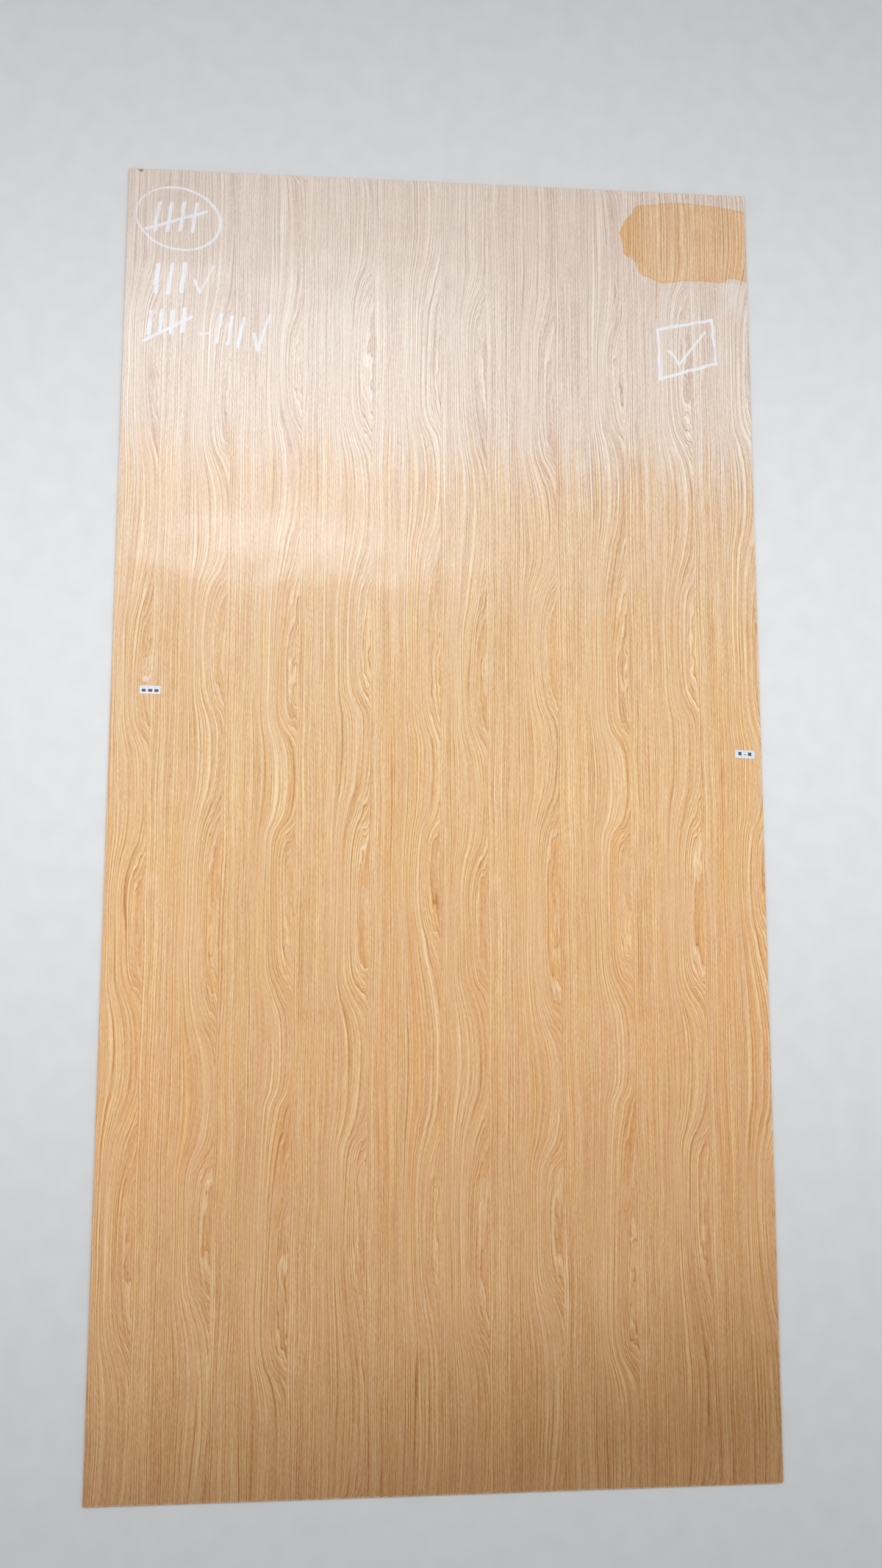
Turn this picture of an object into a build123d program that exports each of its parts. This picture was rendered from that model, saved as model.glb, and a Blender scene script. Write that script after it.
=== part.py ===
"""A full sheet of decorative wood veneer board, with the paper labels stuck to its show face.

Millimetres. X runs across the grain, Y runs along the grain towards the head of the sheet,
and Z points out of the show face. The origin is the middle of the back face, so the sheet
lies flat on Z = 0 with its show face up.
"""

import os

from build123d import *

# Sheet stock
sheet_width = 1220.0
sheet_length = 2440.0
sheet_thickness = 4.0

# Sanded arris round the show face, and how far handling has rounded each corner
arris_width = 0.6
head_left_corner_radius = 1.2
head_right_corner_radius = 1.5
foot_left_corner_radius = 2.0
foot_right_corner_radius = 5.0

# Damage in the head edge: a shallow tear in the face, with a deeper bite inside it
tear_from_left_edge = 23.0
tear_width = 13.0
tear_reach = 8.5
tear_depth = 0.9
bite_width = 8.0
bite_reach = 5.5
bite_depth = 3.0
cut_clearance = 2.0

# Printed paper labels, placed by their middles and turned clockwise as they were stuck on
paper_thickness = 0.1
label_width = 38.0
label_height = 15.0
label_corner_radius = 1.0
left_label_from_left_edge = 71.0
left_label_from_head = 1028.0
left_label_turn = -0.7
right_label_from_right_edge = 32.0
right_label_from_head = 1136.0
right_label_turn = -2.3

# Scrap left behind by an older label that was torn off
scrap_width = 11.0
scrap_height = 12.0
scrap_from_left_edge = 57.5
scrap_from_head = 1002.0

# Where the edges and the show face are
left_edge = -sheet_width / 2
right_edge = sheet_width / 2
head_edge = sheet_length / 2
show_face = sheet_thickness

# Outlines, as shares of their own width and reach, from the middle of the head edge inwards
tear_outline = [
    (-0.50, 0.00),
    (-0.46, 0.38),
    (-0.26, 0.54),
    (-0.18, 0.82),
    (-0.05, 0.68),
    (0.03, 1.00),
    (0.18, 0.78),
    (0.35, 0.50),
    (0.38, 0.24),
    (0.50, 0.00),
]
bite_outline = [
    (-0.50, 0.00),
    (-0.40, 0.47),
    (-0.20, 0.58),
    (-0.02, 1.00),
    (0.15, 0.76),
    (0.28, 0.44),
    (0.16, 0.00),
]
split_outline = [
    (0.27, 0.00),
    (0.36, 0.42),
    (0.44, 0.36),
    (0.50, 0.00),
]

# Outline of the scrap, as shares of its width and height from its upper left corner
scrap_outline = [
    (0.00, 0.17),
    (0.36, 0.00),
    (0.64, 0.10),
    (1.00, 0.40),
    (0.98, 0.57),
    (0.68, 0.46),
    (0.48, 0.62),
    (0.30, 1.00),
    (0.09, 0.92),
    (0.00, 0.58),
]


def head_notch(outline, width, reach):
    """Points of a notch in the head edge, carried past the edge so that it cuts clean."""
    middle = left_edge + tear_from_left_edge
    points = [(middle + across * width, head_edge - inward * reach) for across, inward in outline]
    first_x = points[0][0]
    last_x = points[-1][0]
    past = head_edge + cut_clearance
    return [(first_x, past)] + points + [(last_x, past)]


def face_plane(x, y, turn):
    """Plane on the show face for a label whose middle is at x, y."""
    return Plane(Location((x, y, show_face), (0, 0, turn)))


os.makedirs("parts", exist_ok=True)

# The sheet: one board, its show face eased all round, its head edge torn near the left corner
with BuildPart() as veneer_sheet:
    with BuildSketch(Plane.XY) as board_outline:
        Rectangle(sheet_width, sheet_length)
        head_corners = board_outline.vertices().group_by(Axis.Y)[-1].sort_by(Axis.X)
        fillet(head_corners[0], radius=head_left_corner_radius)
        head_corners = board_outline.vertices().group_by(Axis.Y)[-1].sort_by(Axis.X)
        fillet(head_corners[-1], radius=head_right_corner_radius)
        foot_corners = board_outline.vertices().group_by(Axis.Y)[0].sort_by(Axis.X)
        fillet(foot_corners[0], radius=foot_left_corner_radius)
        foot_corners = board_outline.vertices().group_by(Axis.Y)[0].sort_by(Axis.X)
        fillet(foot_corners[-1], radius=foot_right_corner_radius)
    extrude(amount=sheet_thickness)
    chamfer(veneer_sheet.faces().sort_by(Axis.Z)[-1].edges(), length=arris_width)
    with BuildSketch(Plane.XY.offset(show_face)) as tear:
        with BuildLine():
            Polyline(*head_notch(tear_outline, tear_width, tear_reach), close=True)
        make_face()
    extrude(amount=-tear_depth, mode=Mode.SUBTRACT)
    with BuildSketch(Plane.XY.offset(show_face)) as bite:
        with BuildLine():
            Polyline(*head_notch(bite_outline, bite_width, bite_reach), close=True)
        make_face()
        with BuildLine():
            Polyline(*head_notch(split_outline, bite_width, bite_reach), close=True)
        make_face()
    extrude(amount=-bite_depth, mode=Mode.SUBTRACT)
veneer_sheet.part.label = "veneer_sheet"
export_step(veneer_sheet.part, "parts/veneer_sheet.step")

# The label near the left edge
left_label_plane = face_plane(
    left_edge + left_label_from_left_edge, head_edge - left_label_from_head, left_label_turn
)
with BuildPart() as label_left:
    with BuildSketch(left_label_plane):
        RectangleRounded(label_width, label_height, label_corner_radius)
    extrude(amount=paper_thickness)
label_left.part.label = "label_left"
export_step(label_left.part, "parts/label_left.step")

# The label near the right edge
right_label_plane = face_plane(
    right_edge - right_label_from_right_edge, head_edge - right_label_from_head, right_label_turn
)
with BuildPart() as label_right:
    with BuildSketch(right_label_plane):
        RectangleRounded(label_width, label_height, label_corner_radius)
    extrude(amount=paper_thickness)
label_right.part.label = "label_right"
export_step(label_right.part, "parts/label_right.step")

# The torn scrap of the older label, just above the left label
scrap_corner_x = left_edge + scrap_from_left_edge
scrap_corner_y = head_edge - scrap_from_head
scrap_points = [
    (scrap_corner_x + across * scrap_width, scrap_corner_y - down * scrap_height)
    for across, down in scrap_outline
]
with BuildPart() as label_scrap:
    with BuildSketch(Plane.XY.offset(show_face)):
        with BuildLine():
            Polyline(*scrap_points, close=True)
        make_face()
    extrude(amount=paper_thickness)
label_scrap.part.label = "label_scrap"
export_step(label_scrap.part, "parts/label_scrap.step")
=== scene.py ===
# %% [markdown]
# # A sheet of figured veneer board
# The real object is one board, 1220 mm wide, 2440 mm long and 4 mm thick. Its show face is a
# figured veneer laid in strips. It carries chalk marks, a wiped patch, two paper labels and a
# scrap of an older one, and its head edge is torn near the left corner.
#
# A board like this is almost all surface, so nearly everything that makes it look real is in the
# finish of one flat face. The board and the papers already exist at their real size, so this
# lesson loads them, leaves their shapes alone and gives each one its finish.

import math
import random

import bpy
from mathutils import Matrix, Vector


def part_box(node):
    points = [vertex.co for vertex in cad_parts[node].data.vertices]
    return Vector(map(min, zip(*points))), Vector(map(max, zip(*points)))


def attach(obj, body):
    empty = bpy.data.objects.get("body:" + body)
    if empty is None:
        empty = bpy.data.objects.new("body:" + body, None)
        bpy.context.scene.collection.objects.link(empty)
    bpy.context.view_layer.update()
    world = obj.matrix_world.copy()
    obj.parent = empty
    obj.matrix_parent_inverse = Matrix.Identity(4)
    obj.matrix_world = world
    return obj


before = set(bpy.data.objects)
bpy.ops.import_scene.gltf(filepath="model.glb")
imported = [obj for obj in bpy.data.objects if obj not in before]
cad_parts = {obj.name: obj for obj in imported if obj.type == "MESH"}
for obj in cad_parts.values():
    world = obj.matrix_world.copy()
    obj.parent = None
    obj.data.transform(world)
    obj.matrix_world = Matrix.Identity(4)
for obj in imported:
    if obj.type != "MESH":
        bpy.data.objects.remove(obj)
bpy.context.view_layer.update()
board_low, board_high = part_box("veneer_sheet")
board_width = board_high.x - board_low.x
board_length = board_high.y - board_low.y
face_height = board_high.z
print("pieces:", sorted(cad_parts))
print("board, metres:", round(board_width, 3), round(board_length, 3), round(face_height, 4))

# %% [markdown]
# ## Measuring on the board
# A maker measures a board from its left edge and from its head, in millimetres. Every mark below
# is placed that way. Two short helpers turn such a pair into a place in the scene, and turn a
# colour as seen on a screen into the linear colour that a shader mixes.

# %% Millimetres and colours
MM = 0.001
width_mm = board_width / MM
length_mm = board_length / MM
face_mm = face_height / MM


def on_board(across, down, height=face_mm):
    """The scene place of a point measured from the left edge and from the head."""
    return Vector((board_low.x + across * MM, board_high.y - down * MM, height * MM))


def tone(red, green, blue):
    """A screen colour, 0 to 255, as the linear colour that a shader takes: the sRGB rule."""
    linear = []
    for level in (red, green, blue):
        share = level / 255
        if share <= 0.04045:
            linear.append(share / 12.92)
        else:
            linear.append(((share + 0.055) / 1.055) ** 2.4)
    return (linear[0], linear[1], linear[2], 1.0)


print("head left corner:", on_board(0, 0), "foot right corner:", on_board(width_mm, length_mm))

# %% [markdown]
# ## The camera
# The board is looked at from about two metres above its middle, a little left of it and towards
# the foot, so its foot looks wider than its head. The lens is a wide one. Keeping the lens and the
# stand point as separate named values means either can be corrected without touching the other.

# %% Camera
image_height = 2133
focal_length_pixels = 1500
sensor_height = 36.0
camera_place = Vector((-0.141, -0.204, 2.037))
camera_looks_along = Vector((0.0682, 0.1102, -0.9916)).normalized()
camera_roll = math.radians(0.09)

camera_data = bpy.data.cameras.new("camera")
camera_data.sensor_fit = "VERTICAL"
camera_data.sensor_height = sensor_height
camera_data.lens = focal_length_pixels * sensor_height / image_height
camera = bpy.data.objects.new("camera", camera_data)
bpy.context.scene.collection.objects.link(camera)
to_the_right = camera_looks_along.cross(Vector((0, 1, 0))).normalized()
to_the_top = to_the_right.cross(camera_looks_along)
camera_turn = Matrix((to_the_right, to_the_top, -camera_looks_along)).transposed().to_4x4()
camera_turn = camera_turn @ Matrix.Rotation(camera_roll, 4, "Z")
camera.matrix_world = Matrix.Translation(camera_place) @ camera_turn
bpy.context.scene.camera = camera
print("lens, mm:", round(camera_data.lens, 2))

# %% [markdown]
# ## Floor and light
# The board lies on a plain pale floor under a broad soft lamp that hangs over its head half, so the
# foot gets a little less light. The world gives the rest, and no part of the face goes dull.
#
# The face is slightly waxy, and three soft lamps beyond the head show in it as reflections only: a
# broad one as the pale sheen over the head third, and two long narrow ones, one inside the other
# and slightly cool, as the soft bright band below that. A mirror rule places them: the band seen
# at one place of the face shows the lamp that stands where a ray from the camera bounces to.

# %% Floor
scene = bpy.context.scene
scene.view_settings.view_transform = "Standard"
floor_half_width = 6.0
floor_drop = 0.0005
floor_corners = [(-1, -1), (1, -1), (1, 1), (-1, 1)]
floor_mesh = bpy.data.meshes.new("floor")
floor_points = [(x * floor_half_width, y * floor_half_width, -floor_drop) for x, y in floor_corners]
floor_mesh.from_pydata(floor_points, [], [(0, 1, 2, 3)])
floor = bpy.data.objects.new("floor", floor_mesh)
scene.collection.objects.link(floor)
print("floor, metres across:", 2 * floor_half_width)

# %% Lamps
mirrored_lamp_height = 3.0
white_light = (1.0, 1.0, 1.0)
cool_light = (0.82, 1.06, 1.25)
world_strength = 0.4


def soft_lamp(name, middle, wide, long, radiance):
    """A flat lamp that faces down."""
    lamp_data = bpy.data.lights.new(name, "AREA")
    lamp_data.shape = "RECTANGLE"
    lamp_data.size = wide
    lamp_data.size_y = long
    lamp_data.energy = radiance * math.pi * wide * long
    lamp = bpy.data.objects.new(name, lamp_data)
    lamp.location = middle
    scene.collection.objects.link(lamp)
    print(name, "hangs at", [round(v, 2) for v in middle], "size", round(wide, 2), round(long, 2))
    return lamp


def bounce_place(across, down):
    """Where a lamp has to hang to be mirrored at this place of the face."""
    spot = on_board(across, down)
    ray = spot - camera_place
    share = (mirrored_lamp_height - spot.z) / -ray.z
    return Vector((spot.x + ray.x * share, spot.y + ray.y * share, mirrored_lamp_height))


def mirrored_lamp(name, left, right, top, bottom, radiance, light):
    """A lamp seen only as a reflection, between those millimetres of the board."""
    first = bounce_place(left, top)
    last = bounce_place(right, bottom)
    middle = (first + last) / 2
    lamp = soft_lamp(name, middle, abs(last.x - first.x), abs(last.y - first.y), radiance)
    lamp.visible_diffuse = False
    lamp.data.color = light


key_lamp = soft_lamp("key_lamp", on_board(540, 960, 1700), wide=4.6, long=1.1, radiance=2.41)
key_lamp.visible_glossy = False
mirrored_lamp("veil_lamp", -100, 640, 220, 660, radiance=5.5, light=white_light)
mirrored_lamp("band_lamp", 30, 640, 690, 794, radiance=6.5, light=cool_light)
mirrored_lamp("band_middle_lamp", 90, 490, 700, 758, radiance=12.5, light=cool_light)

world = bpy.data.worlds.new("studio")
world.use_nodes = True
background = world.node_tree.nodes["Background"]
background.inputs["Color"].default_value = (1.0, 1.0, 1.0, 1.0)
background.inputs["Strength"].default_value = world_strength
scene.world = world

# %% [markdown]
# ## Writing a finish as a recipe
# Every finish here is worked out from places on the board, with no picture. A recipe is a list of
# small steps: measure, compare, roughen, mix. This helper class writes one node for each step and
# hands back what the step gives, so that a finish reads like arithmetic. The mixing step has its
# own sockets for numbers and for colours, so their places are named first.

# %% Recipe helper
origin = (0.0, 0.0, 0.0)
seed_shift_across = 3.7
seed_shift_down = 17.3
number_sockets = (0, 2, 3)
number_result = 0
colour_sockets = (0, 6, 7)
colour_result = 2


class Recipe:
    """One finish. Each call adds one step and hands back its result."""

    def __init__(self, name, roughness=0.5):
        self.material = bpy.data.materials.new(name)
        self.material.use_nodes = True
        self.tree = self.material.node_tree
        self.shader = self.tree.nodes["Principled BSDF"]
        self.surface("Roughness", roughness)
        split = self.step("SeparateXYZ")
        self.feed(split.inputs[0], self.step("TexCoord").outputs["Object"])
        self.across = self.scaled(split.outputs[0], 1 / MM, -board_low.x / MM)
        self.down = self.scaled(split.outputs[1], -1 / MM, board_high.y / MM)
        self.height = self.times(split.outputs[2], 1 / MM)
        self.spot = self.point(self.across, self.down)

    def step(self, kind, **settings):
        """Add one node of this kind."""
        node = self.tree.nodes.new("ShaderNode" + kind)
        for setting, value in settings.items():
            setattr(node, setting, value)
        return node

    def feed(self, socket, value):
        """Give a socket the result of another step, or a fixed value."""
        if isinstance(value, bpy.types.NodeSocket):
            self.tree.links.new(value, socket)
        else:
            socket.default_value = value

    def maths(self, operation, *values, kind="Math", result=0):
        """One sum on numbers."""
        node = self.step(kind, operation=operation)
        for socket, value in zip(node.inputs, values):
            self.feed(socket, value)
        return node.outputs[result]

    def arrows(self, operation, *values, result="Vector"):
        """The same for places and directions."""
        return self.maths(operation, *values, kind="VectorMath", result=result)

    def chained(self, operation, values):
        """One sum after another, through all the values."""
        result = values[0]
        for value in values[1:]:
            result = self.maths(operation, result, value)
        return result

    def plus(self, *values):
        return self.chained("ADD", values)

    def times(self, *values):
        return self.chained("MULTIPLY", values)

    def most(self, *values):
        return self.chained("MAXIMUM", values)

    def least(self, *values):
        return self.chained("MINIMUM", values)

    def minus(self, first, second):
        return self.maths("SUBTRACT", first, second)

    def scaled(self, value, factor, shift):
        """The value times a factor, plus a shift."""
        return self.maths("MULTIPLY_ADD", value, factor, shift)

    def nudged(self, value, noise, strength):
        """The value moved either way by a noise, by up to half the strength."""
        return self.scaled(noise, strength, self.plus(value, -strength / 2))

    def point(self, x, y):
        node = self.step("CombineXYZ")
        self.feed(node.inputs[0], x)
        self.feed(node.inputs[1], y)
        return node.outputs[0]

    def ease(self, value, start, end):
        """0 at start and before, 1 at end and after, bending softly between them."""
        node = self.step("MapRange", interpolation_type="SMOOTHSTEP", clamp=False)
        self.feed(node.inputs["Value"], value)
        self.feed(node.inputs["From Min"], start)
        self.feed(node.inputs["From Max"], end)
        return node.outputs["Result"]

    def inside(self, *sides):
        """1 inside an area, 0 outside. Each side is a value, where it gives 0 and where 1."""
        return self.times(*[self.ease(*side) for side in sides])

    def cloud(self, spot, wide, long, seed, detail=0.0):
        """Smooth noise from 0 to 1, in swells that wide and long, in millimetres."""
        shift = (seed * seed_shift_across, seed * seed_shift_down, 0.0)
        place = self.arrows("MULTIPLY_ADD", spot, (1 / wide, 1 / long, 0.0), shift)
        node = self.step("TexNoise", noise_dimensions="2D")
        self.feed(node.inputs["Vector"], place)
        node.inputs["Scale"].default_value = 1.0
        node.inputs["Detail"].default_value = detail
        return node.outputs["Fac"]

    def layered(self, start, *layers):
        """A number with several noises added, each swinging about nothing by its own strength."""
        total = start - sum(strength for noise, strength in layers) / 2
        for noise, strength in layers:
            total = self.scaled(noise, strength, total)
        return total

    def draw_lots(self, number):
        """A number from 0 to 1 that is the same wherever the number given is the same."""
        node = self.step("TexWhiteNoise", noise_dimensions="1D")
        self.feed(node.inputs["W"], number)
        return node.outputs["Value"]

    def distance(self, spot, place):
        """Millimetres from the spot to one place."""
        return self.arrows("DISTANCE", spot, place, result="Value")

    def distance_to_line(self, spot, start, end):
        """Millimetres from the spot to a straight stroke between two places."""
        start_place = Vector((start[0], start[1], 0.0))
        along = Vector((end[0], end[1], 0.0)) - start_place
        away = self.arrows("SUBTRACT", spot, start_place)
        share = self.arrows("DOT_PRODUCT", away, along / along.length_squared, result="Value")
        on_stroke = self.least(self.most(share, 0.0), 1.0)
        nearest = self.step("VectorMath", operation="SCALE")
        nearest.inputs[0].default_value = along
        self.feed(nearest.inputs["Scale"], on_stroke)
        return self.distance(away, nearest.outputs["Vector"])

    def curve(self, share, line, reach=1.0, height=1.0):
        """A smooth line through given points, read at a share of its reach."""
        points = [(place / reach, size / height) for place, size in line]
        node = self.step("FloatCurve")
        drawn = node.mapping.curves[0]
        drawn.points[0].location = points[0]
        drawn.points[1].location = points[-1]
        for spot in points[1:-1]:
            drawn.points.new(*spot)
        node.mapping.update()
        self.feed(node.inputs["Value"], share)
        return node.outputs["Value"]

    def shades(self, value, places, colours):
        """A colour for each value, blended between the places."""
        node = self.step("ValToRGB")
        ramp = node.color_ramp
        stops = list(zip(places, colours))
        for stop, (place, colour) in zip(ramp.elements, (stops[0], stops[-1])):
            stop.position = place
            stop.color = colour
        for place, colour in stops[1:-1]:
            ramp.elements.new(place).color = colour
        self.feed(node.inputs["Fac"], value)
        return node.outputs["Color"]

    def blend(self, amount, under, over, way="MIX"):
        """Two colours mixed: all the first where amount is 0, all the second where it is 1."""
        node = self.step("Mix", data_type="RGBA", blend_type=way)
        for socket, value in zip(colour_sockets, (amount, under, over)):
            self.feed(node.inputs[socket], value)
        return node.outputs[colour_result]

    def tinted(self, amount, colour, tint):
        """A colour multiplied by a tint, by that amount."""
        return self.blend(amount, colour, tint, "MULTIPLY")

    def choose(self, amount, under, over):
        """Two numbers mixed in the same way."""
        node = self.step("Mix", data_type="FLOAT")
        for socket, value in zip(number_sockets, (amount, under, over)):
            self.feed(node.inputs[socket], value)
        return node.outputs[number_result]

    def surface(self, property_name, value):
        """Set one property of the finish, such as its roughness."""
        self.feed(self.shader.inputs[property_name], value)

    def colour(self, result):
        """Take this as the colour of the finish."""
        self.surface("Base Color", result)

    def wear_by(self, node_name):
        """Give this finish to a piece that came with the board."""
        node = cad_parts[node_name]
        node.data.materials.clear()
        node.data.materials.append(self.material)
        print(node_name, "has a finish of", len(self.tree.nodes), "steps")


# %% Finish of the floor
floor_recipe = Recipe("pale_floor", roughness=0.8)
floor_specks = floor_recipe.cloud(floor_recipe.spot, wide=40, long=40, seed=1)
floor_recipe.colour(floor_recipe.blend(floor_specks, tone(222, 224, 226), tone(228, 229, 231)))
floor.data.materials.append(floor_recipe.material)
print("floor finished in", len(floor_recipe.tree.nodes), "steps")

# %% [markdown]
# ## How the figure is laid
# The face is two leaves side by side, sliced one after the other from the same block, so the
# second repeats the first. Each leaf is five strips joined edge to edge. Along the right of each
# strip the growth lines swing out to the left in a row of bulges. Along its left they run
# straight.
#
# Two curves give the whole figure. One says how far the lines of a strip swing out,
# from the head down to the foot. The other says how much of that swing a line takes, by its
# distance from the strip's right-hand joint: most of it at about 22 mm, less right at the joint,
# and none past 80 mm.

# %% Joints and swings
veneer = Recipe("figured_veneer")
veneer.surface("Coat Weight", 0.35)
veneer.surface("Coat Roughness", 0.14)

leaf_width = 624.0
second_leaf_starts = 607.0
right_hand_joints = [72.0, 206.0, 341.0, 476.0, 607.0]
largest_swing = 60.0

swings_down_the_strip = [
    [
        (0, 16), (165, 14), (340, 44), (540, 28), (665, 13), (845, 28), (1005, 46), (1115, 28),
        (1215, 11), (1345, 30), (1455, 42), (1590, 16), (1705, 0), (1780, 11), (1880, 37),
        (2025, 48), (2165, 37), (2315, 10), (2440, 20),
    ],
    [
        (0, 17), (135, 14), (220, 17), (345, 37), (475, 42), (590, 18), (720, 0), (795, 11),
        (940, 42), (1045, 30), (1145, 12), (1245, 28), (1360, 52), (1480, 54), (1635, 28),
        (1765, 6), (1875, 30), (1985, 50), (2120, 24), (2270, 3), (2365, 7), (2440, 13),
    ],
    [
        (0, 31), (150, 20), (270, 27), (400, 42), (535, 16), (615, 8), (740, 21), (895, 42),
        (1010, 48), (1095, 33), (1195, 10), (1290, 38), (1370, 52), (1465, 50), (1585, 18),
        (1695, 0), (1780, 20), (1925, 38), (2125, 48), (2215, 37), (2345, 4), (2440, 7),
    ],
    [
        (0, 20), (125, 15), (220, 35), (375, 50), (535, 22), (660, 3), (790, 20), (930, 37),
        (1045, 21), (1110, 7), (1240, 25), (1370, 50), (1445, 52), (1585, 25), (1710, 0),
        (1825, 17), (1925, 44), (2065, 37), (2210, 21), (2275, 17), (2440, 28),
    ],
    [
        (0, 3), (65, 0), (215, 17), (395, 33), (535, 8), (615, 3), (740, 20), (890, 37),
        (980, 38), (1090, 25), (1170, 13), (1290, 37), (1360, 44), (1485, 28), (1630, 4),
        (1715, 0), (1825, 14), (2000, 33), (2115, 24), (2295, 8), (2440, 13),
    ],
]
full_swing_from_joint = 22.0
widest_strip = 140.0
share_of_the_swing = [
    (0, 0.71), (6, 0.8), (12, 0.895), (17, 0.965), (22, 1.0), (30, 0.98), (38, 0.91), (46, 0.78),
    (54, 0.58), (62, 0.36), (70, 0.17), (78, 0.05), (88, 0.0), (140, 0.0),
]

second_leaf = veneer.maths("GREATER_THAN", veneer.across, second_leaf_starts)
across_leaf = veneer.scaled(second_leaf, -leaf_width, veneer.across)
passed_joint = []
for joint in right_hand_joints[:-1]:
    passed_joint.append(veneer.maths("GREATER_THAN", across_leaf, joint))


def by_strip(values):
    """The first value in the first strip, the second in the next, and so on."""
    result = values[0]
    for passed, value in zip(passed_joint, values[1:]):
        result = veneer.choose(passed, result, value)
    return result


down_share = veneer.times(veneer.down, 1 / length_mm)
drawn_swings = []
for drawn in swings_down_the_strip:
    drawn_swings.append(veneer.curve(down_share, drawn, length_mm, largest_swing))
swing = veneer.times(by_strip(drawn_swings), largest_swing)
print("strips in a leaf:", len(right_hand_joints), "curves:", len(swings_down_the_strip))

# %% [markdown]
# ## Growth lines
# Each point of the face now gets a ring place: its distance from the joint, less the swing that
# it takes. Points with the same ring place lie on one growth line. On the outer flank of a bulge
# the rule crowds the lines together, and near the joint it spreads them, until the innermost
# close into long islands, just as a board looks where the saw runs nearly along the rings. Before
# that, rings are widest on the flank, narrower by the joint and narrowest on the straight side.
#
# A little noise in the ring place makes the island outlines ragged, because there a small change
# moves a line a long way, while elsewhere nothing shows. The fibres take a second, plainer place
# that never closes up, so that the fine streaks stay fine inside the islands.

# %% Ring place
flank_ring_width = 8.0
inner_ring_width = 4.8
straight_ring_width = 3.9
inner_rings_end = -10.0
straight_side_starts = 62.0
line_width = 1.5
crowding_reach = 2.0
least_crowding = 0.2
most_crowding = 2.5
wander = 5.0
coarse_rag = 7.0
fine_rag = 2.0
ring_drift = 1.8
strip_lots = [3.0, 17.0, 29.0, 41.0, 53.0]
strips_apart = 1000.0
leaves_apart = 7000.0
flank_rings = 1 / flank_ring_width
inner_rings = 1 / inner_ring_width
straight_rings = 1 / straight_ring_width

from_joint = veneer.minus(by_strip(right_hand_joints), across_leaf)
strip_lot = by_strip(strip_lots)
strip_down = veneer.scaled(strip_lot, strips_apart, veneer.down)
leaf_down = veneer.scaled(second_leaf, leaves_apart, strip_down)
joint_spot = veneer.point(from_joint, strip_down)
leaf_spot = veneer.point(from_joint, leaf_down)

wandered = veneer.nudged(from_joint, veneer.cloud(joint_spot, wide=50, long=130, seed=1), wander)
wandered_share = veneer.times(wandered, 1 / widest_strip)
share_here = veneer.curve(wandered_share, share_of_the_swing, widest_strip)
just_beside = veneer.plus(wandered_share, crowding_reach / widest_strip)
share_beside = veneer.curve(just_beside, share_of_the_swing, widest_strip)
share_drop = veneer.times(veneer.minus(share_here, share_beside), 1 / crowding_reach)
crowding = veneer.scaled(share_drop, swing, 1.0)
crowding = veneer.least(veneer.most(crowding, least_crowding), most_crowding)
outer_place = veneer.most(wandered_share, full_swing_from_joint / widest_strip)
outer_share = veneer.curve(outer_place, share_of_the_swing, widest_strip)
rag = veneer.layered(
    0.0,
    (veneer.cloud(leaf_spot, wide=14, long=60, seed=2, detail=1.0), coarse_rag),
    (veneer.cloud(leaf_spot, wide=7, long=22, seed=3), fine_rag),
)
spread_out = veneer.ease(crowding, 1.0, 0.5)
rag = veneer.times(rag, veneer.scaled(spread_out, 0.8, 0.2))
ring_distance = veneer.plus(veneer.minus(wandered, veneer.times(swing, share_here)), rag)
fibre_distance = veneer.minus(wandered, veneer.times(swing, outer_share))
drift = veneer.cloud(veneer.point(ring_distance, leaf_down), wide=16, long=600, seed=4)
ring_place = veneer.scaled(drift, ring_drift, veneer.times(ring_distance, flank_rings))
straight_part = veneer.most(veneer.plus(ring_distance, -straight_side_starts), 0.0)
ring_place = veneer.scaled(straight_part, straight_rings - flank_rings, ring_place)
inner_part = veneer.least(veneer.plus(ring_distance, -inner_rings_end), 0.0)
ring_place = veneer.scaled(inner_part, inner_rings - flank_rings, ring_place)
on_straight_side = veneer.ease(straight_part, 0.0, 1.0)
rings_per_mm = veneer.choose(on_straight_side, flank_rings, straight_rings)
near_the_joint = veneer.ease(inner_part, 0.0, -1.0)
rings_per_mm = veneer.choose(near_the_joint, rings_per_mm, inner_rings)
rings_per_mm = veneer.times(rings_per_mm, crowding)
print("ring widths, mm:", inner_ring_width, flank_ring_width, straight_ring_width)

# %% [markdown]
# ## From rings to light and dark
# Each ring draws lots for its own lightness, and its late side ends in a thin dark line. Inside
# the islands the rings are pale and golden by turns. Over that lie streaks that follow the fibres:
# long ones that fade over a hand's length, shorter ones, and the short slanting dashes of cut
# pores. The straight sides are calmer than the swinging ones, and a curve makes the
# whole figure quieter at the head and bolder at the foot.

# %% Light and dark
middle_lightness = 0.52
boldest = 1.4
boldness_down_the_board = [
    (0, 0.72), (130, 0.84), (300, 1.02), (420, 1.13), (640, 1.12), (1250, 1.08), (1500, 0.98),
    (1950, 1.0), (2150, 1.18), (2440, 1.2),
]
bolder_wiped_side = 0.24
ring_variety = 0.255
crowding_loss = 0.1
faintest_line = 0.14
line_variety = 0.3
faintest_early_wood = 0.08
early_wood_variety = 0.24
long_streak_strength = 0.5
short_streak_strength = 0.36
dash_strength = 0.46
broad_streak_strength = 0.16
dash_slant = 3.3
calm_liveliness = 0.6
shade_places = [0.0, 0.28, 0.5, 0.74, 1.0]
wood_shades = [
    tone(187, 132, 77), tone(210, 163, 107), tone(222, 181, 132), tone(232, 198, 152),
    tone(244, 219, 177),
]

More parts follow.
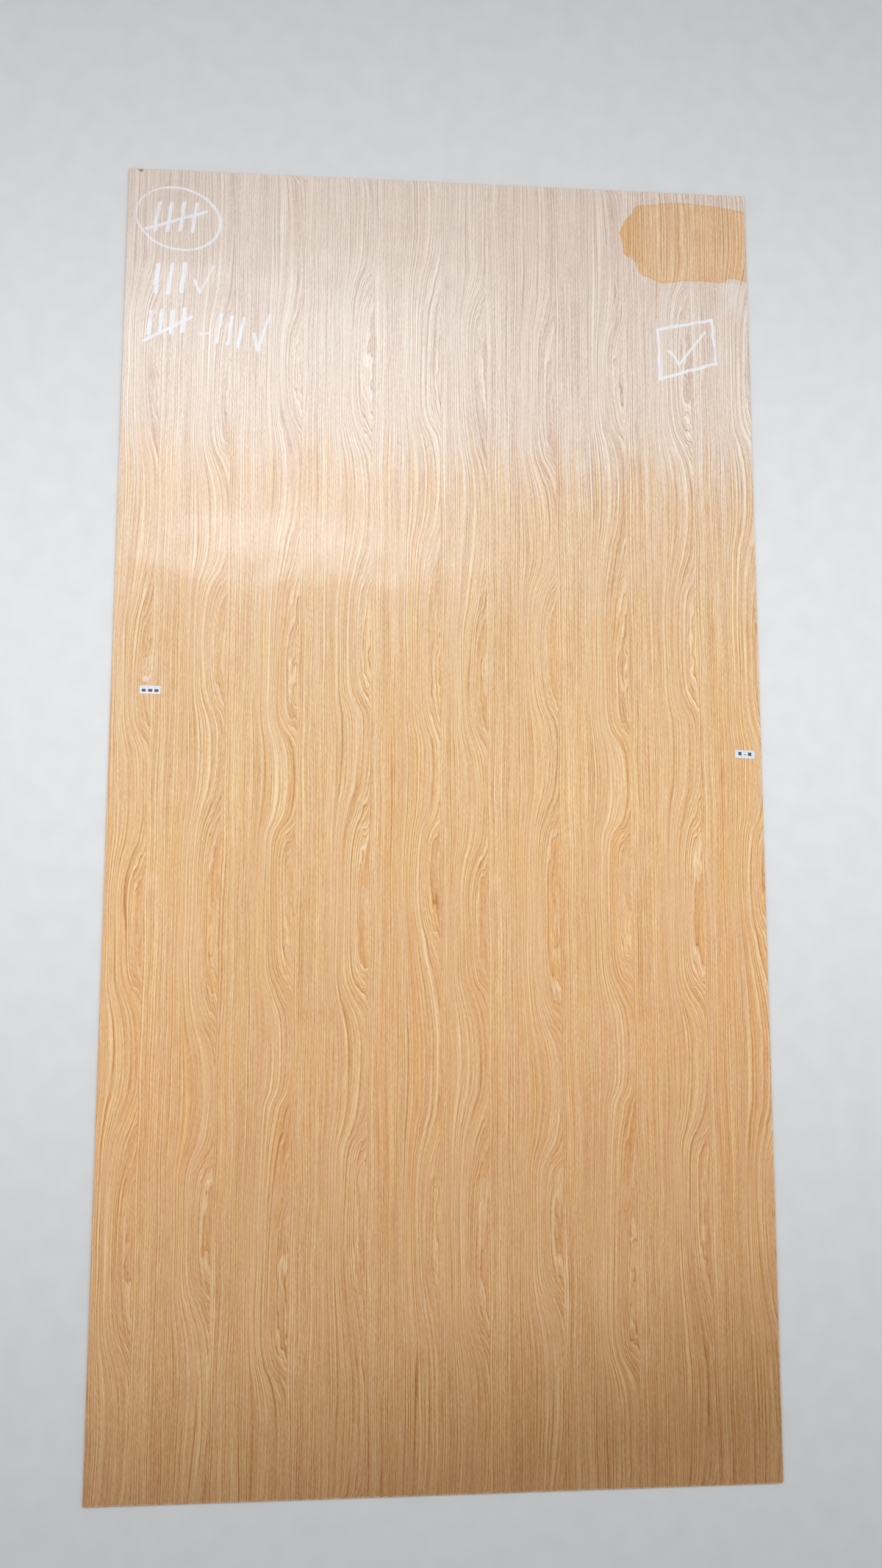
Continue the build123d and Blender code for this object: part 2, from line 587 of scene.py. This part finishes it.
whole_rings = veneer.maths("FLOOR", ring_place)
ring_number = veneer.scaled(strip_lot, 10.0, whole_rings)
within_ring = veneer.maths("FRACT", ring_place)
ring_lot = veneer.draw_lots(ring_number)
line_lot = veneer.draw_lots(veneer.plus(ring_number, 0.3))
warm_lot = veneer.draw_lots(veneer.plus(ring_number, 0.6))
every_other = veneer.maths("FLOORED_MODULO", whole_rings, 2.0)
in_island = veneer.ease(crowding, 0.8, 0.5)
pale_island = veneer.times(in_island, every_other)
golden_island = veneer.minus(in_island, pale_island)
line_share = veneer.least(veneer.times(rings_per_mm, line_width), 0.6)
late_start = veneer.scaled(line_share, -1.3, 1.0)
late_middle = veneer.scaled(line_share, -0.35, 1.0)
late_end = veneer.scaled(line_share, -0.1, 1.0)
late_wood = veneer.inside((within_ring, late_start, late_middle), (within_ring, 1.0, late_end))
early_end = veneer.scaled(line_share, 1.2, 0.3)
early_wood = veneer.inside((within_ring, 0.02, 0.25), (within_ring, early_end, 0.25))
fibre_spot = veneer.point(fibre_distance, strip_down)
swinging_side = veneer.ease(from_joint, 84.0, 60.0)
mood = veneer.ease(veneer.cloud(joint_spot, wide=30, long=140, seed=5), 0.3, 0.7)
liveliness = veneer.choose(swinging_side, calm_liveliness, veneer.scaled(mood, 0.8, 0.55))
ring_strength = veneer.plus(ring_lot, -0.5)
ring_strength = veneer.times(ring_strength, veneer.scaled(crowding, -crowding_loss, ring_variety))
line_strength = veneer.times(late_wood, veneer.scaled(line_lot, line_variety, faintest_line))
early_strength = veneer.scaled(line_lot, early_wood_variety, faintest_early_wood)
early_strength = veneer.times(early_wood, early_strength)
ring_contrast = veneer.plus(veneer.minus(ring_strength, line_strength), early_strength)
short_streaks = veneer.cloud(fibre_spot, wide=1.9, long=40, seed=7)
dash_spot = veneer.point(fibre_distance, veneer.scaled(fibre_distance, dash_slant, strip_down))
streaks = veneer.layered(
    middle_lightness,
    (veneer.cloud(fibre_spot, wide=2.7, long=300, seed=6), long_streak_strength),
    (short_streaks, short_streak_strength),
    (veneer.cloud(dash_spot, wide=1.5, long=7, seed=8), dash_strength),
    (veneer.cloud(fibre_spot, wide=8, long=420, seed=9), broad_streak_strength),
)
lightness = veneer.scaled(crowding, 0.035, veneer.scaled(ring_contrast, liveliness, streaks))
lightness = veneer.scaled(pale_island, -0.02, veneer.scaled(golden_island, -0.05, lightness))
boldness = veneer.curve(down_share, boldness_down_the_board, length_mm, boldest)
boldness = veneer.times(boldness, boldest)
wiped_side = veneer.inside((veneer.across, 955.0, 985.0), (veneer.down, 192.0, 178.0))
boldness = veneer.scaled(wiped_side, bolder_wiped_side, boldness)
off_the_middle = veneer.plus(lightness, -middle_lightness)
lightness = veneer.scaled(off_the_middle, boldness, middle_lightness)
wood_colour = veneer.shades(lightness, shade_places, wood_shades)
warm_ring = veneer.times(veneer.ease(warm_lot, 0.6, 0.98), veneer.choose(swinging_side, 0.5, 0.8))
warm_bands = veneer.ease(veneer.cloud(fibre_spot, wide=9, long=500, seed=10), 0.52, 0.72)
warmth = veneer.scaled(warm_bands, 0.42, warm_ring)
warmth = veneer.most(warmth, veneer.times(golden_island, 0.7))
warmth = veneer.times(warmth, veneer.minus(1.0, pale_island))
warmth = veneer.times(warmth, veneer.ease(down_share, 1.03, 0.72))
rosiness = veneer.most(veneer.times(pale_island, 0.3), veneer.scaled(mood, -0.45, 0.45))
print("the figure takes", len(veneer.tree.nodes), "steps so far")

# %% [markdown]
# ## Painted sheen and painted foot shade
# A pale sheen of light over the head third is painted into the colour, as painted sheen. It
# makes the wood paler without hiding the figure, so it is drawn as a second, paler set of shades
# for the same lines, blended in by a drawn curve from head to foot. Its lower end is streaky along
# the fibres, and it reaches a little lower at the right. Towards the foot the colour is painted
# darker and browner as painted shade, and painted light makes the left side lighter below the
# middle.

# %% Painted sheen
sheen_down_the_board = [
    (0, 0.96), (130, 0.96), (325, 0.96), (450, 0.88), (540, 0.69), (600, 0.46), (660, 0.27),
    (760, 0.22), (840, 0.09), (940, 0.03), (1090, 0.0), (2440, 0.0),
]
sheen_streakiness = 250.0
sheen_shift = -105.0
sheen_lower_at_right = 40.0
sheen_shades = [
    tone(190, 164, 151), tone(209, 187, 175), tone(226, 209, 196), tone(239, 226, 213),
    tone(248, 239, 229),
]
# Painted sheen: the colour is painted paler over the head third, for the sheen of light there.
sheen_streaks = veneer.cloud(fibre_spot, wide=6, long=240, seed=11, detail=1.0)
sheen_place = veneer.plus(down_share, sheen_shift / length_mm)
sheen_place = veneer.scaled(sheen_streaks, sheen_streakiness / length_mm, sheen_place)
sheen_tilt = -sheen_lower_at_right / (width_mm * length_mm)
sheen_place = veneer.scaled(veneer.across, sheen_tilt, sheen_place)
painted_sheen = veneer.curve(sheen_place, sheen_down_the_board, length_mm)
painted_sheen = veneer.times(painted_sheen, veneer.scaled(warmth, -0.08, 1.01))
sheen_colour = veneer.shades(lightness, shade_places, sheen_shades)
print("film full to and gone by, mm:", sheen_down_the_board[2][0], sheen_down_the_board[-2][0])

# %% Face without the painted sheen
no_tint = (1.0, 1.0, 1.0, 1.0)
warm_tint = (1.0, 0.9, 0.72, 1.0)
rosy_tint = (1.0, 0.985, 1.14, 1.0)
lit_tint = (1.07, 1.06, 1.04, 1.0)
foot_shade_places = [0.0, 0.28, 0.38, 0.5, 0.7, 0.88, 1.0]
foot_shade_tints = [
    no_tint,
    no_tint,
    (0.96, 0.975, 0.97, 1.0),
    (0.975, 0.957, 0.9, 1.0),
    (1.035, 0.957, 0.873, 1.0),
    (0.955, 0.85, 0.74, 1.0),
    (0.64, 0.51, 0.35, 1.0),
]
darker_at_right = 0.09
foot_shade_shift = -0.038
warm_colour = veneer.tinted(warmth, wood_colour, warm_tint)
warm_colour = veneer.tinted(rosiness, warm_colour, rosy_tint)
# Painted shade: darker and browner towards the foot, and a little sooner at the right.
foot_shade_place = veneer.plus(down_share, foot_shade_shift)
foot_shade_place = veneer.scaled(veneer.across, darker_at_right / width_mm, foot_shade_place)
foot_shade_tint = veneer.shades(foot_shade_place, foot_shade_places, foot_shade_tints)
colour_without_sheen = veneer.tinted(1.0, warm_colour, foot_shade_tint)
# Painted light: the left side below the middle is painted a touch lighter.
lit_left = veneer.inside(
    (veneer.across, 300.0, 30.0), (veneer.down, 1050.0, 1500.0), (veneer.down, 2250.0, 1850.0)
)
colour_without_sheen = veneer.tinted(lit_left, colour_without_sheen, lit_tint)
print("foot tints:", len(foot_shade_tints))

# %% [markdown]
# ## The wiped patch
# Near the head's right corner a damp cloth has wiped a long patch with a crisp scalloped edge,
# and one drop has run down from it and dried. The painted sheen is left out of both, so the wood
# colour without it shows there. Two curves draw its upper and lower edges, and a slightly darker
# rim follows them, as it does where water dries. The painted sheen isn't even: it is painted a
# touch dimmer beside the patch and in the head's left corner, and a milky smear hangs below the
# patch.

# %% Wiped patch
patch_left = 958.0
patch_width = width_mm - patch_left
patch_depth = 220.0
patch_top_edge = [
    (958, 97), (962, 91), (975, 63), (984, 54), (990, 45), (994, 35), (1030, 27), (1077, 21),
    (1145, 24), (1220, 34),
]
patch_bottom_edge = [
    (958, 84), (962, 91), (969, 114), (974, 138), (984, 141), (991, 148), (995, 155), (1005, 176),
    (1029, 186), (1042, 192), (1093, 187), (1133, 186), (1174, 186), (1184, 178), (1204, 180),
    (1220, 184),
]
edge_wander = 4.0
sheen_left_out = 0.86
drip_top = (1037, 187)
drip_foot = (1034.5, 265)
drip_top_width = 3.2
drip_foot_width = 1.2
drip_strength = 0.8
dimmer_sheen_tint = (0.985, 0.955, 0.955, 1.0)
dim_corner_tint = (0.955, 0.95, 0.965, 1.0)
patch_tint = (1.05, 1.05, 1.08, 1.0)
patch_end_tint = (0.97, 0.88, 0.72, 1.0)
rim_tint = (0.99, 0.94, 0.87, 1.0)


def patch_edge(points):
    """Where an edge of the patch lies, in millimetres from the head."""
    drawn = [((across - patch_left) / patch_width, down / patch_depth) for across, down in points]
    along = veneer.scaled(veneer.across, 1 / patch_width, -patch_left / patch_width)
    return veneer.times(veneer.curve(along, drawn), patch_depth)


edge_wobble = veneer.cloud(veneer.spot, wide=7, long=9, seed=11, detail=1.0)
wobbled_down = veneer.nudged(veneer.down, edge_wobble, edge_wander)
below_top = veneer.minus(wobbled_down, patch_edge(patch_top_edge))
above_bottom = veneer.minus(patch_edge(patch_bottom_edge), wobbled_down)
inside_patch = veneer.least(below_top, above_bottom)
patch = veneer.ease(inside_patch, -0.6, 0.8)
patch = veneer.times(patch, veneer.maths("GREATER_THAN", veneer.across, patch_left))
patch_rim = veneer.times(patch, veneer.ease(inside_patch, 5.0, 0.8))

drip_line = veneer.distance_to_line(veneer.spot, drip_top, drip_foot)
down_the_drip = veneer.ease(veneer.down, drip_top[1], drip_foot[1])
drip_width = veneer.choose(down_the_drip, drip_top_width, drip_foot_width)
drip = veneer.times(veneer.ease(drip_line, drip_width, 0.4), drip_strength)
drip_end = veneer.ease(veneer.distance(veneer.spot, (drip_foot[0], drip_foot[1], 0.0)), 2.0, 0.8)
smear = veneer.inside(
    (veneer.across, 1160.0, 1178.0),
    (veneer.across, 1214.0, 1196.0),
    (veneer.down, 181.0, 194.0),
    (veneer.down, 277.0, 211.0),
)
painted_sheen = veneer.times(painted_sheen, veneer.scaled(patch, -sheen_left_out, 1.0), veneer.minus(1.0, drip))
# Painted sheen painted a touch dimmer beside the patch and, below, in the head's left corner.
dimmer_sheen = veneer.inside((veneer.across, 640.0, 860.0), (veneer.down, 270.0, 120.0))
sheen_colour = veneer.tinted(dimmer_sheen, sheen_colour, dimmer_sheen_tint)
dim_corner = veneer.inside((veneer.across, 360.0, 100.0), (veneer.down, 430.0, 0.0))
sheen_colour = veneer.tinted(dim_corner, sheen_colour, dim_corner_tint)
# The painted sheen goes into the colour here.
face_colour = veneer.blend(painted_sheen, colour_without_sheen, sheen_colour)
patch_end = veneer.ease(veneer.across, 1030.0, 985.0)
soaked = veneer.blend(patch_end, patch_tint, patch_end_tint)
damp_tint = veneer.blend(patch, no_tint, soaked)
damp_tint = veneer.blend(veneer.most(patch_rim, drip), damp_tint, rim_tint)
face_colour = veneer.tinted(1.0, face_colour, damp_tint)
face_colour = veneer.blend(veneer.times(drip_end, 0.6), face_colour, tone(120, 88, 66))
smear = veneer.times(smear, short_streaks, 0.95)
face_colour = veneer.blend(smear, face_colour, tone(240, 236, 230))
print("patch, mm: from", patch_left, "to", round(width_mm))

# %% [markdown]
# ## Chalk marks
# Somebody has kept a tally on the board in chalk: a ringed row of strokes, two rows of strokes and
# ticks under it, and a ticked box at the right. Chalk only catches on the high parts of the
# grain, and the hand presses unevenly, so each stroke is soft, broken and see-through.
#
# Upright strokes stand in evenly spaced rows, so a whole row is drawn at once: the spot is carried
# back to the nearest stroke of the row, and each stroke draws lots for how high it stands. A row
# is given as half a stroke's width, the place of its first stroke, the spacing, how many there
# are, their top and bottom, and their lean. A single stroke is half its width and its two ends.

# %% Chalk strokes
stroke_rows = [
    (3.6, 56, 24, 4, 72, 128, -0.12),
    (4.2, 60, 25, 3, 193, 250, -0.1),
    (4.0, 49, 21, 4, 290, 334, -0.05),
    (3.4, 180, 21, 3, 296, 352, -0.16),
]
firm_strokes = [
    (3.0, (36, 124), (150, 84)),
    (3.2, (38, 352), (128, 300)),
    (3.0, (1037, 290), (1146, 267)),
    (3.1, (1146, 267), (1153, 357)),
    (3.0, (1153, 357), (1040, 392)),
    (3.1, (1040, 392), (1037, 290)),
    (3.0, (1058, 334), (1078, 362)),
    (2.5, (1078, 362), (1132, 292)),
]
faint_strokes = [
    (3.0, (132, 226), (142, 250)),
    (2.4, (142, 250), (166, 196)),
    (2.4, (146, 334), (160, 332)),
    (3.6, (246, 332), (255, 362)),
    (2.9, (255, 362), (276, 290)),
]
ring_middle = (97.0, 100.5)
ring_half_width = 79.5
ring_half_height = 64.0
ring_lean = 0.14
ring_mean_radius = 72.0
chalk_colour = tone(244, 246, 252)
hand_sway = 4.0
ring_sway = 3.0
row_raggedness = 10.0
thickest_chalk = 0.95

sway = veneer.cloud(veneer.spot, wide=24, long=24, seed=3)
hand_across = veneer.nudged(veneer.across, sway, hand_sway)
hand_down = veneer.nudged(veneer.down, sway, -hand_sway)
hand_spot = veneer.point(hand_across, hand_down)
crumble = veneer.scaled(veneer.cloud(veneer.spot, wide=1.3, long=2.2, seed=5), 2.0, -1.0)


def stroke_row_gap(half_width, first, spacing, count, top, bottom, lean):
    """Millimetres to the edge of the nearest of several upright strokes."""
    middle = (top + bottom) / 2
    upright = veneer.scaled(hand_down, -lean, veneer.plus(hand_across, lean * middle - first))
    number = veneer.maths("ROUND", veneer.times(upright, 1 / spacing))
    number = veneer.least(veneer.most(number, 0.0), count - 1.0)
    beside = veneer.scaled(number, -spacing, upright)
    stroke_lot = veneer.draw_lots(veneer.plus(number, top))
    lift = veneer.scaled(stroke_lot, row_raggedness, -row_raggedness / 2 - middle)
    past_end = veneer.maths("ABSOLUTE", veneer.plus(hand_down, lift))
    past_end = veneer.most(veneer.plus(past_end, (top - bottom) / 2), 0.0)
    gap = veneer.distance(veneer.point(beside, past_end), origin)
    return veneer.plus(gap, -half_width)


def strokes_gap(strokes):
    """Millimetres to the edge of the nearest of these strokes."""
    gaps = []
    for half_width, start, end in strokes:
        gaps.append(veneer.plus(veneer.distance_to_line(hand_spot, start, end), -half_width))
    return veneer.least(*gaps)


row_gap = veneer.least(*[stroke_row_gap(*row) for row in stroke_rows])
firm_gap = veneer.least(row_gap, strokes_gap(firm_strokes))
faint_gap = strokes_gap(faint_strokes)

steady_across = veneer.nudged(veneer.across, sway, ring_sway)
sideways = veneer.scaled(steady_across, 1 / ring_half_width, -ring_middle[0] / ring_half_width)
up_and_down = veneer.scaled(veneer.down, 1 / ring_half_height, -ring_middle[1] / ring_half_height)
leaning = veneer.scaled(up_and_down, -ring_lean, sideways)
round_share = veneer.distance(veneer.point(leaning, up_and_down), origin)
ring_gap = veneer.maths("ABSOLUTE", veneer.plus(round_share, -1.0))
ring_gap = veneer.times(ring_gap, ring_mean_radius)
pressed_right = veneer.ease(veneer.minus(sideways, up_and_down), 0.2, 1.2)
pressed_low = veneer.ease(up_and_down, -0.2, 0.8)
ring_pressure = veneer.scaled(pressed_right, 0.3, veneer.scaled(pressed_low, 0.3, 0.64))
ring_half_stroke = veneer.scaled(pressed_right, 1.3, veneer.scaled(pressed_low, 0.8, 1.7))
ring_gap = veneer.minus(ring_gap, ring_half_stroke)

chalk_layers = []
for gap, pressure in [(firm_gap, 1.0), (faint_gap, 0.8), (ring_gap, ring_pressure)]:
    covered = veneer.ease(veneer.plus(gap, crumble), 0.9, -1.1)
    chalk_layers.append(veneer.times(covered, pressure))
chalk = veneer.most(*chalk_layers)
high_grain = veneer.ease(short_streaks, 0.32, 0.6)
chalk_hold = veneer.scaled(sway, 0.5, veneer.scaled(high_grain, 0.45, 0.42))
chalk = veneer.least(veneer.times(chalk, chalk_hold), thickest_chalk)
face_colour = veneer.blend(chalk, face_colour, chalk_colour)
stroke_count = sum(row[3] for row in stroke_rows) + len(firm_strokes) + len(faint_strokes)
print("chalk strokes:", stroke_count, "and one ring")

# %% [markdown]
# ## Small marks and pale edges
# A few dark specks sit here and there, and the face is paler along the head edge, the foot
# edge and the lower part of the right edge.
# Just above the left label an older one was torn off: a little brown glue is left in the grain
# under its scrap, and a thin scratch beside it.

# %% Specks and pale edges
far_away = 100.0
specks = [
    (1179.5, 2315, 2.2), (664.5, 1069, 1.5), (452.5, 916, 1.3), (704.5, 1595, 1.3),
    (1064.5, 916, 1.4), (234.0, 659, 1.5), (167.0, 479, 1.8),
]
glue_smear = ((57, 1014.5), (66, 1016))
scratch_line = ((47, 1010), (56.5, 1010.6))
speck_gap = far_away
for across, down, size in specks:
    gap = veneer.plus(veneer.distance(veneer.spot, (across, down, 0.0)), -size)
    speck_gap = veneer.least(speck_gap, gap)
speck_cover = veneer.ease(speck_gap, 0.0, -0.9)
face_colour = veneer.blend(veneer.times(speck_cover, 0.6), face_colour, tone(128, 92, 62))

glue_gap = veneer.distance_to_line(veneer.spot, *glue_smear)
glue = veneer.ease(veneer.plus(glue_gap, crumble), 3.4, 0.8)
scratch = veneer.ease(veneer.distance_to_line(veneer.spot, *scratch_line), 1.1, 0.3)
glue = veneer.most(veneer.times(glue, 0.5), veneer.times(scratch, 0.45))
face_colour = veneer.blend(glue, face_colour, tone(196, 132, 84))

from_foot = veneer.minus(length_mm, veneer.down)
from_right = veneer.minus(width_mm, veneer.across)
lower_right = veneer.plus(from_right, veneer.ease(veneer.down, 1720.0, 1235.0))
to_pale_edge = veneer.least(veneer.down, from_foot, lower_right)
pale_edge = veneer.inside((to_pale_edge, 2.6, 0.6), (edge_wobble, 0.3, 0.6))
face_colour = veneer.blend(veneer.times(pale_edge, 0.5), face_colour, tone(232, 212, 186))
print("specks:", len(specks))

# %% [markdown]
# ## Edges, back and torn place
# The edges show plain sawn wood, a little browner than the face. The back is the plain side of the
# board: straight quiet grain and no painted sheen. In the torn place the fibres are pale at the
# lips, where they parted, and painted darker grey-brown further in, as painted shade in the hollow.

# %% Edges and back
tear_middle = 23.2
tear_half_width = 7.4
tear_reach = 9.0
pores = veneer.cloud(veneer.spot, wide=0.9, long=7, seed=81)
grooves = veneer.cloud(veneer.spot, wide=1.7, long=60, seed=83)
below_face = veneer.minus(face_mm, veneer.height)
edge_spot = veneer.point(veneer.plus(veneer.across, veneer.down), veneer.height)
edge_grain = veneer.cloud(edge_spot, wide=24, long=0.5, seed=51)
edge_colour = veneer.blend(edge_grain, tone(168, 126, 84), tone(216, 178, 132))
back_grain = veneer.layered(
    0.5,
    (veneer.cloud(veneer.spot, wide=40, long=900, seed=61), 0.8),
    (grooves, 0.9),
    (pores, 0.5),
)
back_colour = veneer.blend(back_grain, tone(186, 146, 102), tone(226, 192, 150))
on_edge = veneer.ease(below_face, 0.45, 0.7)
on_back = veneer.ease(veneer.height, 0.1, 0.02)

tear_gap = veneer.maths("ABSOLUTE", veneer.plus(veneer.across, -tear_middle))
tear_gap = veneer.plus(tear_gap, -tear_half_width)
tear_gap = veneer.most(tear_gap, veneer.plus(veneer.down, -tear_reach))
in_tear = veneer.times(
    veneer.ease(tear_gap, 0.4, -0.1),
    veneer.maths("GREATER_THAN", veneer.down, 0.05),
    veneer.ease(below_face, 0.2, 0.6),
)
torn_colour = veneer.blend(pores, tone(150, 118, 90), tone(232, 208, 174))
# Painted shade: deeper in the tear the fibres are painted darker, for the shade in the hollow.
deep_tear_shade = veneer.blend(pores, tone(96, 80, 68), tone(160, 132, 108))
torn_colour = veneer.blend(veneer.ease(below_face, 1.2, 2.6), torn_colour, deep_tear_shade)
side_colour = veneer.blend(on_edge, face_colour, edge_colour)
side_colour = veneer.blend(in_tear, side_colour, torn_colour)
veneer.colour(veneer.blend(on_back, side_colour, back_colour))
print("torn place, mm from the left edge:", tear_middle)

# %% [markdown]
# ## Sheen and relief
# The pores and grooves of the grain give the face its relief. Gentle waves a hand wide lie under
# them, because a thin board is never quite flat, and they make the mirrored band swing a little.
# The face is duller where sheen is painted or chalk lies, and the wiped patch is shinier.

# %% Sheen and relief
relief_strength = 0.35
relief_depth = 0.00012
wave_height = 36.0
pore_height = 0.8
groove_height = 1.1
face_roughness = veneer.scaled(short_streaks, 0.18, 0.35)
face_roughness = veneer.scaled(painted_sheen, 0.06, face_roughness)
face_roughness = veneer.scaled(patch, -0.06, face_roughness)
face_roughness = veneer.scaled(veneer.most(chalk, on_edge), 0.3, face_roughness)
bump = veneer.step("Bump")
bump.inputs["Strength"].default_value = relief_strength
bump.inputs["Distance"].default_value = relief_depth
waves = veneer.cloud(veneer.spot, wide=110, long=110, seed=31, detail=1.0)
relief = veneer.scaled(pores, pore_height, veneer.times(grooves, groove_height))
relief = veneer.scaled(waves, wave_height, relief)
veneer.feed(bump.inputs["Height"], relief)
veneer.surface("Normal", bump.outputs["Normal"])
veneer.surface("Coat Normal", bump.outputs["Normal"])
veneer.surface("Roughness", face_roughness)
veneer.wear_by("veneer_sheet")

# %% [markdown]
# ## Splinters in the torn place
# Where the head edge was knocked, a few splinters still hang on by one end, and one longer sliver
# leans across the gap. Each is a thin wedge: a three-sided stick that runs out to a point. They
# root in the fibres at the inner end of the tear, so they are aimed from there to the edge.

# %% Splinters
sliver_sections = 5
sliver_sides = 3
tear_places = [(18.6, 3.2), (20.4, 5.4), (22.2, 7.4), (24.6, 6.4), (26.4, 4.6), (28.2, 2.6)]
slivers_each = 4
sliver_ridge = 1.4
tip_lift = 0.5
nearest_to_edge = 0.2


def sliver(root, tip, root_height, tip_height, thickness):
    """Points and faces of one closed three-sided stick from its root to its pointed tip."""
    points = []
    faces = [(0, 1, 2)]
    for section in range(sliver_sections):
        share = section / sliver_sections
        across = root[0] + (tip[0] - root[0]) * share
        down = root[1] + (tip[1] - root[1]) * share
        lift = root_height + (tip_height - root_height) * share * share
        half = thickness * (1 - share) / 2
        points.append(on_board(across - half, down, lift))
        points.append(on_board(across + half, down, lift))
        points.append(on_board(across, down, lift + half * sliver_ridge))
    points.append(on_board(tip[0], tip[1], tip_height))
    tip_number = len(points) - 1
    for section in range(sliver_sections):
        first = section * sliver_sides
        for side in range(sliver_sides):
            here = first + side
            beside = first + (side + 1) % sliver_sides
            if section == sliver_sections - 1:
                faces.append((here, tip_number, beside))
            else:
                faces.append((here, here + sliver_sides, beside + sliver_sides, beside))
    return points, faces


def sliver_piece(name, slivers):
    """One piece of the scene made of several slivers."""
    all_points = []
    all_faces = []
    for points, faces in slivers:
        start = len(all_points)
        all_points += points
        all_faces += [tuple(start + corner for corner in face) for face in faces]
    mesh = bpy.data.meshes.new(name)
    mesh.from_pydata(all_points, [], all_faces)
    piece = bpy.data.objects.new(name, mesh)
    scene.collection.objects.link(piece)
    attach(piece, "root")
    print(name, "has", len(slivers), "slivers and", len(all_faces), "faces")
    return piece


lots = random.Random(12)
short_slivers = []
for across, reach in tear_places:
    for _ in range(slivers_each):
        root = (across + lots.uniform(-0.8, 0.8), reach * lots.uniform(0.75, 1.0))
        tip_across = root[0] + lots.uniform(-0.5, 0.9)
        tip = (tip_across, max(nearest_to_edge, root[1] - lots.uniform(1.2, 3.2)))
        height = lots.uniform(3.0, 3.3)
        thickness = lots.uniform(0.25, 0.5)
        short_slivers.append(sliver(root, tip, height, height + tip_lift, thickness))
torn_fibres = sliver_piece("torn_fibres", short_slivers)
long_sliver = sliver((22.0, 6.6), (28.6, 0.3), root_height=3.1, tip_height=4.0, thickness=1.1)
long_splinter = sliver_piece("long_splinter", [long_sliver])

splinter_wood = Recipe("splinter_wood", roughness=0.7)
splinter_grain = splinter_wood.cloud(splinter_wood.spot, wide=0.4, long=3, seed=5)
splinter_wood.colour(splinter_wood.blend(splinter_grain, tone(206, 172, 134), tone(240, 220, 190)))
torn_fibres.data.materials.append(splinter_wood.material)
long_splinter.data.materials.append(splinter_wood.material)

# %% [markdown]
# ## Paper labels
# The two labels are plain white paper, a little cool beside the wood. Each carries short dark bars
# in place of print. The left one was pressed on unevenly; painted shade in its top creases greys
# it.
# A bar is given as its middle and half its width, then its top and bottom, all measured from the
# middle of the label.

# %% Label paper
bar_softness = 0.35
bar_strength = 0.94
label_ink = tone(44, 46, 54)
left_bars = [(-11.5, 3.6, -1.2, 4.0), (0.2, 3.8, -1.2, 4.0), (11.6, 3.8, -1.2, 4.0)]
right_bars = [(-9.6, 3.0, -4.2, 2.4), (0.0, 1.2, -0.2, 1.6), (9.2, 3.2, -3.8, 2.8)]


def label_finish(name, middle, lean, bars, white, shade):
    """Paper with dark bars across it."""
    paper = Recipe(name, roughness=0.6)
    sideways = paper.plus(paper.across, -middle[0])
    downwards = paper.scaled(sideways, -lean, paper.plus(paper.down, -middle[1]))
    fibres = paper.cloud(paper.spot, wide=1.6, long=1.2, seed=1, detail=2.0)
    creases = paper.cloud(paper.spot, wide=9, long=2.2, seed=2)
    # Painted shade: creases in a label's upper part are painted greyer.
    crease_shade = paper.inside((downwards, -0.75, -5.25), (creases, 0.3, 0.6))
    colour = paper.blend(fibres, shade, white)
    colour = paper.blend(paper.times(crease_shade, 0.7), colour, shade)
    ink_gap = far_away
    for bar_middle, bar_half_width, bar_top, bar_bottom in bars:
        beside = paper.maths("ABSOLUTE", paper.plus(sideways, -bar_middle))
        beside = paper.plus(beside, -bar_half_width)
        past_end = paper.maths("ABSOLUTE", paper.plus(downwards, -(bar_top + bar_bottom) / 2))
        past_end = paper.plus(past_end, -(bar_bottom - bar_top) / 2)
        ink_gap = paper.least(ink_gap, paper.most(beside, past_end))
    ink_gap = paper.scaled(fibres, 0.5, paper.plus(ink_gap, -0.25))
    ink = paper.ease(ink_gap, bar_softness, -bar_softness)
    paper.colour(paper.blend(paper.times(ink, bar_strength), colour, label_ink))
    return paper


label_finish(
    "label_paper_left", middle=(71.0, 1028.0), lean=0.012, bars=left_bars,
    white=tone(244, 243, 250), shade=tone(216, 214, 226),
).wear_by("label_left")
label_finish(
    "label_paper_right", middle=(1188.0, 1136.0), lean=0.04, bars=right_bars,
    white=tone(226, 236, 246), shade=tone(204, 218, 232),
).wear_by("label_right")

# %% Old paper
old_paper = Recipe("old_paper", roughness=0.8)
old_fibres = old_paper.cloud(old_paper.spot, wide=2, long=2, seed=2, detail=3.0)
old_paper.colour(old_paper.blend(old_fibres, tone(222, 196, 184), tone(242, 224, 216)))
old_paper.wear_by("label_scrap")
